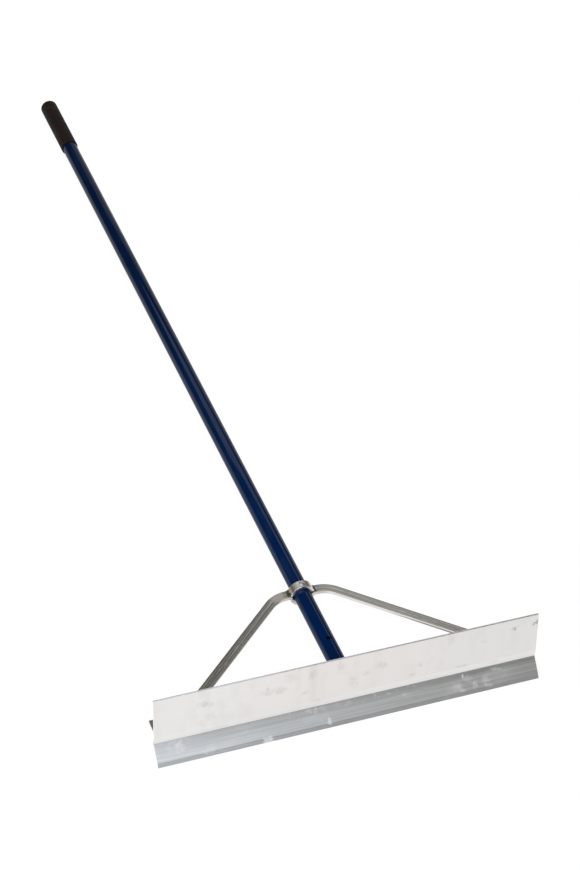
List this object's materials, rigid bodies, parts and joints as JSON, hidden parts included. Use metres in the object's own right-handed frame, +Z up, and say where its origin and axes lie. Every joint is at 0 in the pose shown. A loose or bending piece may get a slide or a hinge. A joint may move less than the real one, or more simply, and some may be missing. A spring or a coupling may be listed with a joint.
{
  "type": "concrete scraper",
  "caption": "Long-handled concrete scraper: an extruded board with a slanted scraping edge, braced by a bent flat-bar bow to a straight round handle with a soft grip.",
  "frame": {"origin": "middle of the scraping edge, on the floor that the tool lies on", "axes": "+X along the blade, +Y along the handle towards the grip, +Z up from the floor"},
  "size_m": [0.6096, 1.6441, 0.1058],
  "materials": {
    "mill_aluminium": "mill finish, lightly handled",
    "bar_aluminium": "drawn bar, brushed along its length",
    "weld_aluminium": "dull weld bead",
    "rivet_aluminium": "bright domed head",
    "navy_coating": "glossy navy coating",
    "grip_black": "matt soft grip",
    "zinc_steel": "bright zinc",
    "insert_nylon": "natural nylon"
  },
  "bodies": {
    "root": {"blade_extrusion": "mill_aluminium", "handle_tube": "navy_coating", "handle_grip": "grip_black", "bow_brace": "bar_aluminium", "clamp_strap": "bar_aluminium", "left_strap_weld": "weld_aluminium", "right_strap_weld": "weld_aluminium", "clamp_rivet": "rivet_aluminium", "handle_bolt": "zinc_steel", "brace_bolts": "zinc_steel", "bolt_washers": "zinc_steel", "lock_nuts": "zinc_steel", "lock_nut_inserts": "insert_nylon"}
  },
  "joints": []
}
